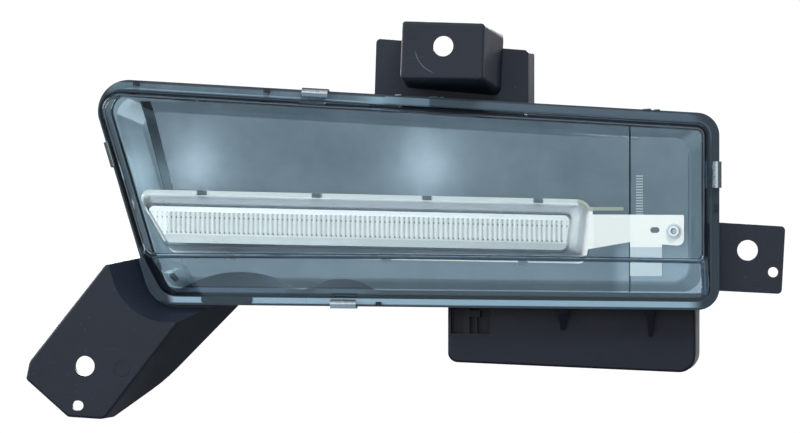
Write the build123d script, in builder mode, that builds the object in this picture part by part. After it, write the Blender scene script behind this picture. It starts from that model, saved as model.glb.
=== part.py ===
from build123d import *
import os

os.makedirs("parts", exist_ok=True)

# Sizes in millimetres. X runs to the right seen from the front, Y runs rearwards, Z runs up.
# The origin is the centre of the upper mounting hole, on the front face of its pad.

# Lens outline at the flange, clockwise from the upper left, and its corner radii
lens_corners = [(-167.8, -12.8), (125.0, -30.8), (125.0, -120.2), (-135.8, -118.3)]
lens_radii = [14.5, 10.5, 10.0, 14.0]
least_radius = 2.5

# Depths of the lens and the housing
lens_front_y = -10.0
lens_crown_radius = 9000.0
lens_crown_height = 400.0
lens_flange_y = 14.0
lens_flange_thickness = 2.5
parting_gap = 0.4
housing_flange_thickness = 2.6
groove_depth = 8.0
groove_floor = 2.0
leg_end_gap = 2.0
housing_back_y = 74.0

# Walls and widths round the outline
flange_width = 4.0
lens_wall = 2.6
lens_edge_radius = 3.4
lens_inner_edge_radius = 1.0
groove_clearance = 0.4
groove_wall = 2.0
housing_wall = 2.5
inner_wall_drop = 3.7
lens_draft = (1.4, 0.6, 19.3, 0.4)
housing_back_inset = (15.0, 15.0, 12.5, 22.0)

# Lugs of the housing that stand in notches of the lens flange
lug_width = 2.6
lug_height = 1.8
lug_depth = 2.2
lug_clearance = 0.3
top_lug_x = (-144.0, -82.9)
right_lug_z = -73.2
bottom_lug_x = -31.3

# Seal that has spread between the flanges, as side of the outline, start X and end X
seal_spreads = [(0, -29.0, 112.0), (2, -90.0, -114.0)]
spread_margin = 0.8
spread_radii = [1.4, 1.4, 0.0, 0.0]

# Upper mounting pad and the tower behind it
mount_hole_radius = 4.7
pad_wall = 3.2
pad_front = [(-18.6, 11.5), (18.9, 10.2), (18.4, -15.4), (-19.6, -14.9)]
pad_rear = [(-21.5, 11.7), (24.9, 9.3), (23.5, -21.3), (-22.0, -17.0)]
pad_front_radii = [1.6, 1.6, 1.6, 1.6]
pad_rear_radii = [3.0, 4.5, 4.0, 3.0]
tower_y = 40.0
tower_back_y = 66.0
tower_wall = 3.0
tower_front = [(-35.0, 5.9), (36.4, 0.0), (36.4, -45.0), (-36.6, -45.0)]
tower_draft = 1.2
tower_radii = [2.0, 2.0, 2.0, 2.0]
tower_rib_x = (-29.0, 30.5)
mount_edge_radius = 1.2
rib_thickness = 2.0

# Right mounting tab
tab_y = 24.0
tab_thickness = 3.0
tab_corners = [(112.0, -79.5), (155.0, -82.1), (153.3, -113.0), (112.0, -111.0)]
tab_radii = [1.0, 2.0, 2.0, 1.0]
tab_hole = (137.8, -93.0)
tab_locator = (149.4, -103.0)
locator_radius = 2.3
gusset_z = (-85.0, -108.0)
gusset_reach = 28.0
gusset_outer_x = 148.0
gusset_thickness = 2.4

# Lower left mounting arm
arm_front_y = 2.0
arm_rear_y = 45.0
arm_wall = 3.2
arm_front = [
    (-156.8, -100.0),
    (-120.0, -93.0),
    (-105.0, -104.0),
    (-133.6, -140.6),
    (-157.0, -171.0),
    (-174.1, -170.0),
    (-193.9, -152.7),
    (-192.2, -144.4),
]
arm_rear = [
    (-154.5, -98.0),
    (-112.0, -90.0),
    (-92.0, -110.3),
    (-135.9, -154.9),
    (-161.4, -173.0),
    (-174.0, -172.0),
    (-192.0, -152.5),
    (-190.3, -144.0),
]
arm_radii = [2.0, 4.0, 4.0, 90.0, 4.0, 3.0, 2.0, 4.5]
arm_open_sides = (4, 5)
arm_open_reach = 2.0
arm_hole = (-166.1, -146.5)
arm_slot = (-169.4, -164.7)
arm_slot_length = 5.5
arm_slot_width = 4.5
arm_relief_near = (0.0, 0.0, -9.6, -16.1)
arm_relief_far = (0.0, 0.0, -1.5, -2.0)
arm_relief_y = -3.0

# Driver box under the right half
box_front_y = 30.0
box_back_y = 72.0
box_wall = 2.6
box_top_z = -112.0
box_corners = [(-0.5, -104.0), (114.0, -104.0), (114.0, -149.7), (-0.5, -145.1)]
box_radii = [1.0, 1.0, 7.5, 4.6]
box_edge_radius = 1.2
pocket_x = (1.0, 19.6)
pocket_z = (-131.8, -118.0)
pocket_depth = 5.0
pocket_wall = 1.5
pocket_lip = 1.0
pocket_posts = [
    ((6.8, 9.6), (0.0, 20.0)),
    ((9.6, 14.5), (3.0, 6.2)),
    ((12.2, 13.1), (6.2, 20.0)),
    ((18.7, 19.6), (6.2, 20.0)),
]
wedges = [(53.2, 6.0, -132.0), (93.5, 3.8, -135.4)]
wedge_foot_width = 1.6
wedge_top_z = -116.0
wedge_reach = 9.0
cover_boss_radius = 4.2
cover_boss_points = [(30.0, -138.5), (107.0, -140.0), (107.0, -116.6), (30.0, -116.6)]
screw_hole_radius = 1.8
screw_core_radius = 1.45
screw_core_depth = 14.0
lead_hole_y = 56.0
lead_hole_radius = 2.2
lead_end_z = -121.0

# Ribs on the back of the housing
back_rib_height = 3.0
back_rib_length = 52.0
back_rib_points = [(-96.0, -68.0), (-24.0, -70.0), (24.0, -72.0), (72.0, -74.0)]

# Light module: carrier plate, circuit strip, reflector, optic and clear cap
carrier_y = 13.6
carrier_thickness = 1.6
carrier_lip = (1.7, 1.1, 0.4, 0.2)
carrier_fold = 2.4
carrier_fold_x = (68.0, 84.4)
bar_corners = [(-143.4, -66.6), (66.5, -71.5), (63.5, -97.5), (-127.2, -94.0)]
bar_radii = [2.2, 5.0, 3.0, 5.0]
bar_front_y = 1.0
bar_front_inset = (4.6, 7.0, 3.4, 0.6)
bar_wall = 1.2
bar_edge_radius = 1.2
bar_lug_width = 4.0
bar_lug_reach = 3.0
bar_lug_root = 0.4
bar_hook = 1.8
bar_hook_thickness = 1.2
bar_lug_clearance = 0.25
bar_top_lug_x = (-113.0, -59.5, -8.5, 42.6)
bar_bottom_lug_x = (-99.0, -27.5, 35.6)
tray_clearance = 0.3
tray_wall = 1.4
tray_front_y = 10.4
optic_plate = 1.6
flute_radius = 1.02
flute_pitch = 2.25
flute_count = 81
flute_start = (-127.4, -80.0)
flute_slope = -0.0232
flute_length = 9.6
board_thickness = 1.6
board_height = 9.0
board_ends = (-119.0, 52.0)
chip_size = 3.0
chip_height = 0.8
chip_count = 16
chip_pitch = 11.0
chip_start_x = -115.0
plug_x = 46.0
plug_width = 8.0
plug_height = 6.0
plug_back_y = 27.0
plug_clearance = 0.5
lead_radius = 1.5
lead_bend = 5.0
carrier_arm = [
    (60.0, -73.2),
    (81.4, -73.2),
    (81.4, -74.8),
    (67.4, -74.8),
    (67.4, -76.6),
    (108.9, -76.8),
    (108.9, -91.0),
    (84.3, -89.2),
    (60.0, -93.4),
]
carrier_arm_radii = [0.0, 0.4, 0.4, 0.4, 0.0, 0.6, 3.0, 1.0, 0.0]
carrier_foot = [(84.4, -85.0), (98.9, -85.0), (98.9, -103.6), (84.4, -103.6)]
carrier_foot_radii = [0.0, 0.0, 0.6, 0.6]
carrier_slot = (95.7, -83.7)
carrier_slot_length = 4.2
carrier_slot_width = 2.6
screw_point = (104.2, -84.2)
post_radius = 4.2
shoulder_radius = 6.5
post_clearance = 0.6
post_core_depth = 16.0
pin_points = [(-112.0, -81.5), (-30.0, -84.0)]
pin_radius = 1.4
pin_clearance = 0.2

# Bezels
bezel_rim_y = 15.7
bezel_rim_inset = (7.2, 7.2, 8.7, 7.2)
bezel_rim_width = 0.7
bezel_wall = 1.5
bezel_gap = 0.3
bezel_floor_y = 20.4
bezel_floor_inset = (12.5, 13.5, 13.0, 18.0)
bezel_edge_radius = 3.5
bezel_corner_radius = 9.0
split_x = 84.2
split_gap = 0.7
slot_corners = [(-143.0, -24.0), (-138.1, -24.0), (-126.7, -69.0), (-131.0, -69.0)]
scallop_arcs = [((-96.4, -153.8), 51.7), ((-48.9, -134.4), 29.1)]
peg_hole = (-126.9, -104.6)
peg_hole_length = 4.8
peg_hole_width = 2.6
peg_hole_turn = -45.0
end_panel = [(85.4, -44.2), (89.3, -41.0), (110.8, -41.6), (110.8, -100.0), (85.4, -100.0)]
end_panel_radii = [0.0, 0.0, 2.0, 2.0, 0.0]
end_panel_height = 0.8
tick_x = 88.6
tick_top_z = -59.0
tick_pitch = 1.25
tick_count = 15
tick_length = 3.2
tick_height = 0.4

# Flange clips
clip_width = 12.0
clip_thickness = 0.8
clip_recess = 0.4
clip_recess_length = 34.0
clip_recess_width = 3.5
clip_front_lip = 3.2
clip_rear_lip = 1.3
clip_bulge = 1.0
clip_crown = 1.1
top_clip_x = -60.6
right_clip_z = -58.5
bottom_clip_x = -47.5
left_clip_z = -48.7

# Driver cover, its fastenings and the socket
seal_thickness = 1.0
cover_thickness = 3.0
cover_overhang = 1.6
fin_height = 8.0
fin_thickness = 2.0
fin_count = 9
fin_start_x = 36.5
fin_pitch = 8.0
standoff_radius = 3.0
standoff_margin = 5.0
standoff_left_x = 39.0
standoff_z = (-136.8, -117.0)
peg_radius = 1.1
peg_clearance = 0.15
driver_board_y = 63.0
driver_board_x = (4.5, 101.0)
driver_board_z = (-140.0, -113.5)
socket_center = (14.0, -129.0)
socket_width = 18.0
socket_height = 13.0
socket_wall = 1.5
socket_floor = 3.0
socket_back_y = 92.0
socket_clearance = 0.4
socket_flange = 2.0
latch_width = 6.0
latch_height = 1.6
latch_length = 4.0
latch_setback = 5.0
terminal_width = 1.2
terminal_thickness = 0.8
terminal_reach = 13.0
terminal_points = [(11.0, -131.0), (17.0, -131.0), (11.0, -127.0), (17.0, -127.0)]
cover_top_z = -109.4
seal_margin = 0.4
fin_margin = 2.5
screw_bite = 10.0
screw_head_radius = 2.5
screw_head_height = 1.6
screw_recess_radius = 1.35
washer_radius = 3.4
washer_thickness = 0.8
capacitor_points = [(60.0, -128.0), (70.0, -128.0)]
capacitor_radius = 4.0
capacitor_height = 12.0
choke_point = (84.0, -127.0)
choke_radius = 7.0
choke_height = 8.0
controller_point = (46.0, -131.0)
controller_size = 9.0
controller_height = 1.6

# Breather on the back of the housing
vent_point = (-60.0, -62.0)
vent_radius = 5.0
vent_bore = 3.0
vent_length = 7.0
vent_cap_wall = 1.5
vent_cap_gap = 1.5
vent_cap_length = 7.5
vent_slot_width = 2.0
membrane_thickness = 0.4

# Depths that follow from the sizes above
lens_flange_back_y = lens_flange_y + lens_flange_thickness
housing_flange_y = lens_flange_back_y + parting_gap
housing_flange_back_y = housing_flange_y + housing_flange_thickness
groove_floor_y = housing_flange_y + groove_depth
leg_end_y = groove_floor_y - leg_end_gap
leg_inner = flange_width + lens_wall
groove_outer = flange_width - groove_clearance
groove_inner = leg_inner + groove_clearance
cavity_inset = groove_inner + groove_wall
inner_wall_y = housing_flange_y + inner_wall_drop
carrier_back_y = carrier_y + carrier_thickness
end_plate_y = carrier_y + carrier_fold
end_plate_back_y = end_plate_y + carrier_thickness
bezel_back_y = bezel_floor_y + bezel_wall
cover_y = box_back_y + seal_thickness
standoff_points = []
for x in (standoff_left_x, driver_board_x[1] - standoff_margin):
    for z in standoff_z:
        standoff_points.append((x, z))
forward = (0, -1, 0)


def at_depth(y):
    return Plane.XZ.offset(-y)


def same(value):
    return (value, value, value, value)


def deeper(insets, value):
    return tuple(inset + value for inset in insets)


def inset_corners(corners, insets):
    # Each side moves inwards by its own distance, and neighbours meet in the new corners
    sides = []
    for i in range(len(corners)):
        start = Vector(*corners[i])
        along = (Vector(*corners[(i + 1) % len(corners)]) - start).normalized()
        sides.append((start + Vector(along.Y, -along.X) * insets[i], along))
    moved = []
    for i in range(len(corners)):
        point, along = sides[i - 1]
        other, across = sides[i]
        reach = (other - point).cross(across).Z / along.cross(across).Z
        meet = point + along * reach
        moved.append((meet.X, meet.Y))
    return moved


def outline(y, corners, radii):
    with BuildSketch(at_depth(y)) as sketch:
        with BuildLine():
            FilletPolyline(*corners, radius=radii, close=True)
        make_face()
    return sketch.sketch


def inset_outline(y, corners, radii, insets):
    inner_radii = []
    for i in range(len(corners)):
        inner_radii.append(max(radii[i] - min(insets[i - 1], insets[i]), least_radius))
    return outline(y, inset_corners(corners, insets), inner_radii)


def lens_outline(y, insets):
    return inset_outline(y, lens_corners, lens_radii, insets)


def bar_outline(y, insets):
    return inset_outline(y, bar_corners, bar_radii, insets)


def face_at(part, y):
    # The flat face of a part that lies at one depth
    return part.faces().filter_by(Axis.Y).sort_by(lambda face: abs(face.center().Y - y))[0]


def edge_height(x, corners, side):
    # Height of one side of an outline above a given X
    start = corners[side]
    end = corners[(side + 1) % len(corners)]
    return start[1] + (end[1] - start[1]) * (x - start[0]) / (end[0] - start[0])


def edge_across(z, corners, side):
    # X of one side of an outline at a given height
    start = corners[side]
    end = corners[(side + 1) % len(corners)]
    return start[0] + (end[0] - start[0]) * (z - start[1]) / (end[1] - start[1])


def edge_plane(corners, side, x, z):
    # Plane across one edge of an outline: its X points outwards and its Y points rearwards
    start = Vector(*corners[side])
    along = (Vector(*corners[(side + 1) % len(corners)]) - start).normalized()
    outward = Vector(-along.Y, 0, along.X)
    return Plane(origin=(x, 0, z), x_dir=outward, z_dir=outward.cross(Vector(0, 1, 0)))


# Where the lugs and clips stand on the outline
lug_planes = [
    edge_plane(lens_corners, 1, lens_corners[1][0], right_lug_z),
    edge_plane(lens_corners, 2, bottom_lug_x, edge_height(bottom_lug_x, lens_corners, 2)),
]
for x in top_lug_x:
    lug_planes.append(edge_plane(lens_corners, 0, x, edge_height(x, lens_corners, 0)))
top_clip_plane = edge_plane(lens_corners, 0, top_clip_x, edge_height(top_clip_x, lens_corners, 0))
right_clip_plane = edge_plane(lens_corners, 1, lens_corners[1][0], right_clip_z)
bottom_clip_plane = edge_plane(lens_corners, 2, bottom_clip_x, edge_height(bottom_clip_x, lens_corners, 2))
left_clip_plane = edge_plane(lens_corners, 3, edge_across(left_clip_z, lens_corners, 3), left_clip_z)
clip_planes = [top_clip_plane, right_clip_plane, bottom_clip_plane, left_clip_plane]


# Hollow of the lens, used once below
lens_front_inset = tuple(flange_width + draft for draft in lens_draft)
lens_slope = lens_draft[2] / (lens_flange_y - lens_front_y)
lens_floor_wall = lens_wall * (1 + lens_slope**2) ** 0.5
lens_hollow_y = lens_flange_y + (lens_floor_wall - lens_wall) / lens_slope
lens_inner_front_y = lens_front_y + lens_wall
lens_hollow_inset = (
    lens_front_inset[0] + lens_wall,
    lens_front_inset[1] + lens_wall,
    flange_width + lens_slope * (lens_flange_y - lens_inner_front_y) + lens_floor_wall,
    lens_front_inset[3] + lens_wall,
)
crown_x = (lens_corners[0][0] + lens_corners[1][0]) / 2

with BuildPart() as lens_hollow:
    loft(
        sections=[
            lens_outline(lens_hollow_y, same(leg_inner)),
            lens_outline(lens_inner_front_y, lens_hollow_inset),
        ],
        ruled=True,
    )
    with Locations((crown_x, lens_front_y + lens_crown_radius, 0)):
        Cylinder(lens_crown_radius - lens_wall, lens_crown_height, mode=Mode.INTERSECT)
    fillet(lens_hollow.faces().sort_by(Axis.Y)[0].edges(), lens_inner_edge_radius)
    extrude(lens_outline(leg_end_y, same(leg_inner)), amount=leg_end_y - lens_hollow_y, dir=forward)

# Outer lens: crowned front, sloped lower wall, flange with notches, leg for the groove
with BuildPart() as outer_lens:
    loft(
        sections=[
            lens_outline(lens_flange_y, same(flange_width)),
            lens_outline(lens_front_y, lens_front_inset),
        ],
        ruled=True,
    )
    with Locations((crown_x, lens_front_y + lens_crown_radius, 0)):
        Cylinder(lens_crown_radius, lens_crown_height, mode=Mode.INTERSECT)
    fillet(outer_lens.faces().sort_by(Axis.Y)[0].edges(), lens_edge_radius)
    extrude(lens_outline(lens_flange_back_y, same(0.0)), amount=lens_flange_thickness, dir=forward)
    extrude(lens_outline(leg_end_y, same(flange_width)), amount=leg_end_y - lens_flange_back_y, dir=forward)
    add(lens_hollow.part, mode=Mode.SUBTRACT)
    for plane in lug_planes:
        with BuildSketch(plane):
            with Locations((0, lens_flange_y)):
                Rectangle(2 * (lug_depth + lug_clearance), 4 * lens_flange_thickness)
        extrude(amount=lug_width / 2 + lug_clearance, both=True, mode=Mode.SUBTRACT)
    for plane in clip_planes:
        with BuildSketch(plane):
            with Locations((0, lens_flange_y)):
                Rectangle(2 * clip_recess_width, 2 * clip_recess)
        extrude(amount=clip_recess_length / 2, both=True, mode=Mode.SUBTRACT)
outer_lens.part.label = "outer_lens"
export_step(outer_lens.part, "parts/outer_lens.step")

# Rear housing: mounting arms and driver box first, then the body, then its hollows
tower_back = inset_corners(tower_front, (-tower_draft, -tower_draft, 0.0, -tower_draft))
tower_hollow = (tower_wall, tower_wall, 0.0, tower_wall)
arm_inner_radii = [max(radius - arm_wall, 1.0) for radius in arm_radii]
arm_insets = [-arm_open_reach if side in arm_open_sides else arm_wall for side in range(len(arm_front))]
body_inset = cavity_inset - housing_wall
cavity_back_y = housing_back_y - housing_wall
box_hollow = (box_corners[0][1] - box_top_z, box_wall, box_wall, box_wall)

# Hollow of the lower left arm, open at the tip, kept one wall away from the relief round the lens
with BuildPart() as arm_hollow:
    loft(
        sections=[
            outline(arm_front_y + arm_wall, inset_corners(arm_front, arm_insets), arm_inner_radii),
            outline(arm_rear_y, inset_corners(arm_rear, arm_insets), arm_inner_radii),
        ],
        ruled=True,
    )
    loft(
        sections=[
            lens_outline(arm_relief_y, deeper(arm_relief_near, -arm_wall)),
            lens_outline(housing_flange_back_y + arm_wall, deeper(arm_relief_far, -arm_wall)),
        ],
        ruled=True,
        mode=Mode.SUBTRACT,
    )

with BuildPart() as rear_housing:
    # Tower and pad of the upper mount, open to the rear
    loft(
        sections=[outline(tower_y, tower_front, tower_radii), outline(tower_back_y, tower_back, tower_radii)],
        ruled=True,
    )
    loft(
        sections=[outline(0.0, pad_front, pad_front_radii), outline(tower_y, pad_rear, pad_rear_radii)],
        ruled=True,
    )
    fillet(face_at(rear_housing, 0.0).edges(), mount_edge_radius)
    loft(
        sections=[
            inset_outline(tower_y + tower_wall, tower_front, tower_radii, tower_hollow),
            inset_outline(tower_back_y, tower_back, tower_radii, tower_hollow),
        ],
        ruled=True,
        mode=Mode.SUBTRACT,
    )
    loft(
        sections=[
            inset_outline(pad_wall, pad_front, pad_front_radii, same(pad_wall)),
            inset_outline(tower_y, pad_rear, pad_rear_radii, same(pad_wall)),
        ],
        ruled=True,
        mode=Mode.SUBTRACT,
    )
    extrude(
        inset_outline(tower_back_y, pad_rear, pad_rear_radii, same(pad_wall)),
        amount=tower_back_y - tower_y,
        dir=forward,
        mode=Mode.SUBTRACT,
    )
    for x in tower_rib_x:
        with BuildSketch(at_depth(tower_back_y - 2 * tower_wall)):
            with Locations((x, (tower_front[1][1] + tower_front[2][1]) / 2)):
                Rectangle(rib_thickness, tower_front[1][1] - tower_front[2][1])
        extrude(amount=tower_back_y - 2 * tower_wall - tower_y)

    # Lower left arm, open to the rear, relieved round the corner of the lens
    loft(
        sections=[outline(arm_front_y, arm_front, arm_radii), outline(arm_rear_y, arm_rear, arm_radii)],
        ruled=True,
    )
    fillet(face_at(rear_housing, arm_front_y).edges(), mount_edge_radius)
    add(arm_hollow.part, mode=Mode.SUBTRACT)
    with BuildSketch(at_depth(arm_front_y + arm_wall)):
        with Locations(arm_hole):
            Circle(mount_hole_radius)
        with Locations(arm_slot):
            SlotOverall(arm_slot_length, arm_slot_width)
    extrude(amount=2 * arm_wall, mode=Mode.SUBTRACT)

    # Driver box, open to the rear
    extrude(outline(box_back_y, box_corners, box_radii), amount=box_back_y - box_front_y, dir=forward)
    fillet(face_at(rear_housing, box_front_y).edges(), box_edge_radius)
    extrude(
        inset_outline(box_back_y, box_corners, box_radii, box_hollow),
        amount=box_back_y - box_front_y - box_wall,
        dir=forward,
        mode=Mode.SUBTRACT,
    )
    with BuildSketch(at_depth(cover_y)):
        with Locations(*cover_boss_points):
            Circle(cover_boss_radius)
    extrude(amount=cover_y - box_front_y - box_wall / 2)

    # Wedge ribs on the front of the box
    for x, top_width, foot_z in wedges:
        near = x - top_width / 2
        far = x + top_width / 2
        lip_z = wedge_top_z - wedge_foot_width
        loft(
            sections=[
                outline(
                    box_front_y - wedge_reach,
                    [(near, wedge_top_z), (far, wedge_top_z), (far, lip_z), (near, lip_z)],
                    same(0.0),
                ),
                outline(
                    box_front_y + box_wall / 2,
                    [
                        (near, wedge_top_z),
                        (far, wedge_top_z),
                        (x + wedge_foot_width / 2, foot_z),
                        (x - wedge_foot_width / 2, foot_z),
                    ],
                    same(0.0),
                ),
            ],
            ruled=True,
        )

    # Pocket in the front of the box, closed behind, with catch posts set out down from its top
    pocket_center = (sum(pocket_x) / 2, sum(pocket_z) / 2)
    pocket_width = pocket_x[1] - pocket_x[0]
    pocket_height = pocket_z[1] - pocket_z[0]
    pocket_back_y = box_front_y + pocket_depth
    with BuildSketch(at_depth(pocket_back_y + pocket_wall)):
        with Locations(pocket_center):
            Rectangle(pocket_width + 2 * pocket_wall, pocket_height + 2 * pocket_wall)
    extrude(amount=pocket_depth + pocket_wall - box_wall / 2)
    with BuildSketch(at_depth(box_front_y + pocket_lip)):
        with Locations(pocket_center):
            Rectangle(pocket_width, pocket_height)
    extrude(amount=2 * pocket_lip, mode=Mode.SUBTRACT)
    with BuildSketch(at_depth(pocket_back_y)):
        with Locations(pocket_center):
            Rectangle(pocket_width, pocket_height)
        for post_x, drop in pocket_posts:
            with Locations((sum(post_x) / 2, pocket_z[1] - sum(drop) / 2)):
                Rectangle(post_x[1] - post_x[0], drop[1] - drop[0], mode=Mode.SUBTRACT)
    extrude(amount=pocket_depth, mode=Mode.SUBTRACT)

    # Right tab with two gussets behind it
    extrude(outline(tab_y + tab_thickness, tab_corners, tab_radii), amount=tab_thickness, dir=forward)
    for z in gusset_z:
        with BuildSketch(Plane.XY.offset(z)):
            with BuildLine():
                Polyline(
                    (tab_corners[0][0], tab_y + tab_thickness / 2),
                    (gusset_outer_x, tab_y + tab_thickness / 2),
                    (gusset_outer_x, tab_y + tab_thickness),
                    (tab_corners[0][0], tab_y + tab_thickness + gusset_reach),
                    close=True,
                )
            make_face()
        extrude(amount=gusset_thickness / 2, both=True)
    with BuildSketch(at_depth(tab_y + tab_thickness)):
        with Locations(tab_hole):
            Circle(mount_hole_radius)
        with Locations(tab_locator):
            Circle(locator_radius)
    extrude(amount=2 * tab_thickness, mode=Mode.SUBTRACT)

    # Relief of the arm round the corner of the lens, then the body, channel and flange
    loft(
        sections=[
            lens_outline(arm_relief_y, arm_relief_near),
            lens_outline(housing_flange_back_y, arm_relief_far),
        ],
        ruled=True,
        mode=Mode.SUBTRACT,
    )
    loft(
        sections=[
            lens_outline(groove_floor_y, same(body_inset)),
            lens_outline(housing_back_y, housing_back_inset),
        ],
        ruled=True,
    )
    channel_back_y = groove_floor_y + groove_floor
    extrude(
        lens_outline(channel_back_y, same(groove_outer - groove_wall)),
        amount=channel_back_y - housing_flange_back_y,
        dir=forward,
    )
    extrude(
        lens_outline(housing_flange_back_y, same(0.0)),
        amount=housing_flange_thickness,
        dir=forward,
    )

    # Groove for the leg of the lens, and the hollow of the body
    extrude(
        lens_outline(groove_floor_y, same(groove_outer)),
        amount=groove_depth,
        dir=forward,
        mode=Mode.SUBTRACT,
    )
    extrude(
        lens_outline(groove_floor_y, same(groove_inner)),
        amount=groove_depth - inner_wall_drop,
        dir=forward,
    )
    extrude(
        lens_outline(groove_floor_y, same(cavity_inset)),
        amount=groove_depth,
        dir=forward,
        mode=Mode.SUBTRACT,
    )
    loft(
        sections=[
            lens_outline(groove_floor_y, same(cavity_inset)),
            lens_outline(cavity_back_y, deeper(housing_back_inset, housing_wall)),
        ],
        ruled=True,
        mode=Mode.SUBTRACT,
    )

    # Lugs on the flange, posts for the carrier plate, breather spigot and lead hole
    for plane in lug_planes:
        with BuildSketch(plane):
            with Locations((-lug_depth / 2, housing_flange_y + (parting_gap - lug_height) / 2)):
                Rectangle(lug_depth, lug_height + parting_gap)
        extrude(amount=lug_width / 2, both=True)
    with BuildSketch(at_depth(housing_back_y - housing_wall / 2)):
        with Locations(*pin_points):
            Circle(post_radius)
    extrude(amount=housing_back_y - housing_wall / 2 - carrier_back_y)
    with BuildSketch(at_depth(housing_back_y - housing_wall / 2)):
        with Locations(screw_point):
            Circle(post_radius)
    extrude(amount=housing_back_y - housing_wall / 2 - end_plate_back_y)
    with BuildSketch(at_depth(housing_back_y - housing_wall / 2)):
        with Locations(screw_point, *pin_points):
            Circle(shoulder_radius)
    extrude(amount=housing_back_y - housing_wall / 2 - bezel_back_y)
    with BuildSketch(at_depth(housing_back_y + back_rib_height)):
        with Locations(*back_rib_points):
            Rectangle(rib_thickness, back_rib_length)
    extrude(amount=back_rib_height + housing_wall / 2)
    with BuildSketch(at_depth(carrier_back_y)):
        with Locations(*pin_points):
            Circle(pin_radius)
    extrude(amount=carrier_thickness)
    with BuildSketch(at_depth(end_plate_back_y + post_core_depth)):
        with Locations(screw_point):
            Circle(screw_core_radius)
    extrude(amount=post_core_depth, mode=Mode.SUBTRACT)
    with BuildSketch(at_depth(cover_y + screw_core_depth)):
        with Locations(*cover_boss_points):
            Circle(screw_core_radius)
    extrude(amount=2 * screw_core_depth, mode=Mode.SUBTRACT)
    with BuildSketch(at_depth(housing_back_y + vent_length)):
        with Locations(vent_point):
            Circle(vent_radius)
    extrude(amount=vent_length + housing_wall / 2)
    with BuildSketch(at_depth(housing_back_y + vent_length)):
        with Locations(vent_point):
            Circle(vent_bore)
    extrude(amount=vent_length + 2 * housing_wall, mode=Mode.SUBTRACT)
    with BuildSketch(Plane.XY.offset(lens_corners[2][1])):
        with Locations((plug_x, lead_hole_y)):
            Circle(lead_hole_radius)
    extrude(amount=bar_corners[2][1] - lens_corners[2][1], mode=Mode.SUBTRACT)
    with BuildSketch(at_depth(pad_wall)):
        Circle(mount_hole_radius)
    extrude(amount=2 * pad_wall, mode=Mode.SUBTRACT)
rear_housing.part.label = "rear_housing"
export_step(rear_housing.part, "parts/rear_housing.step")

# Seal that fills the foot of the groove and its outer side, with spread between the flanges
spread_edge = inset_corners(lens_corners, same(spread_margin))
spread_root = inset_corners(lens_corners, same(flange_width))
with BuildPart() as lens_seal:
    extrude(lens_outline(groove_floor_y, same(groove_outer)), amount=groove_depth, dir=forward)
    extrude(
        lens_outline(leg_end_y, same(flange_width)), amount=groove_depth, dir=forward, mode=Mode.SUBTRACT
    )
    extrude(
        lens_outline(groove_floor_y, same(groove_inner)), amount=groove_depth, dir=forward, mode=Mode.SUBTRACT
    )
    for side, start_x, end_x in seal_spreads:
        spread = outline(
            housing_flange_y,
            [
                (start_x, edge_height(start_x, spread_edge, side)),
                (end_x, edge_height(end_x, spread_edge, side)),
                (end_x, edge_height(end_x, spread_root, side)),
                (start_x, edge_height(start_x, spread_root, side)),
            ],
            spread_radii,
        )
        extrude(spread, amount=parting_gap, dir=forward)
lens_seal.part.label = "lens_seal"
export_step(lens_seal.part, "parts/lens_seal.step")


def clip_profile(plane):
    # Bent strip that reaches over both flanges, its front lip arched and longer than the rear one
    inside = clip_bulge - clip_thickness
    seat_y = lens_flange_y + clip_recess
    face_y = seat_y - clip_thickness
    rear_y = housing_flange_back_y + clip_thickness
    middle = (clip_bulge - clip_front_lip) / 2
    with BuildSketch(plane) as sketch:
        with BuildLine():
            Line((-clip_front_lip, seat_y), (-clip_front_lip, face_y))
            ThreePointArc((-clip_front_lip, face_y), (middle, face_y - clip_crown), (clip_bulge, face_y))
            Polyline(
                (clip_bulge, face_y),
                (clip_bulge, rear_y),
                (-clip_rear_lip, rear_y),
                (-clip_rear_lip, housing_flange_back_y),
                (inside, housing_flange_back_y),
                (inside, seat_y),
            )
            ThreePointArc((inside, seat_y), (middle, seat_y - clip_crown), (-clip_front_lip, seat_y))
        make_face()
    return sketch.sketch


# Four spring clips over the flanges
with BuildPart() as lens_clip_top:
    extrude(clip_profile(top_clip_plane), amount=clip_width / 2, both=True)
lens_clip_top.part.label = "lens_clip_top"
export_step(lens_clip_top.part, "parts/lens_clip_top.step")

with BuildPart() as lens_clip_right:
    extrude(clip_profile(right_clip_plane), amount=clip_width / 2, both=True)
lens_clip_right.part.label = "lens_clip_right"
export_step(lens_clip_right.part, "parts/lens_clip_right.step")

with BuildPart() as lens_clip_bottom:
    extrude(clip_profile(bottom_clip_plane), amount=clip_width / 2, both=True)
lens_clip_bottom.part.label = "lens_clip_bottom"
export_step(lens_clip_bottom.part, "parts/lens_clip_bottom.step")

with BuildPart() as lens_clip_left:
    extrude(clip_profile(left_clip_plane), amount=clip_width / 2, both=True)
lens_clip_left.part.label = "lens_clip_left"
export_step(lens_clip_left.part, "parts/lens_clip_left.step")

# Carrier plate: lip round the light bar, folded arm to the right with a foot, openings
carrier_rim = tuple(-lip for lip in carrier_lip)
flute_line = [flute_start[0] + i * flute_pitch for i in range(flute_count)]


def flute_height(x):
    return flute_start[1] + flute_slope * (x - flute_start[0])


bar_lug_planes = []
for x in bar_top_lug_x:
    bar_lug_planes.append(edge_plane(bar_corners, 0, x, edge_height(x, bar_corners, 0)))
for x in bar_bottom_lug_x:
    bar_lug_planes.append(edge_plane(bar_corners, 2, x, edge_height(x, bar_corners, 2)))

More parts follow.
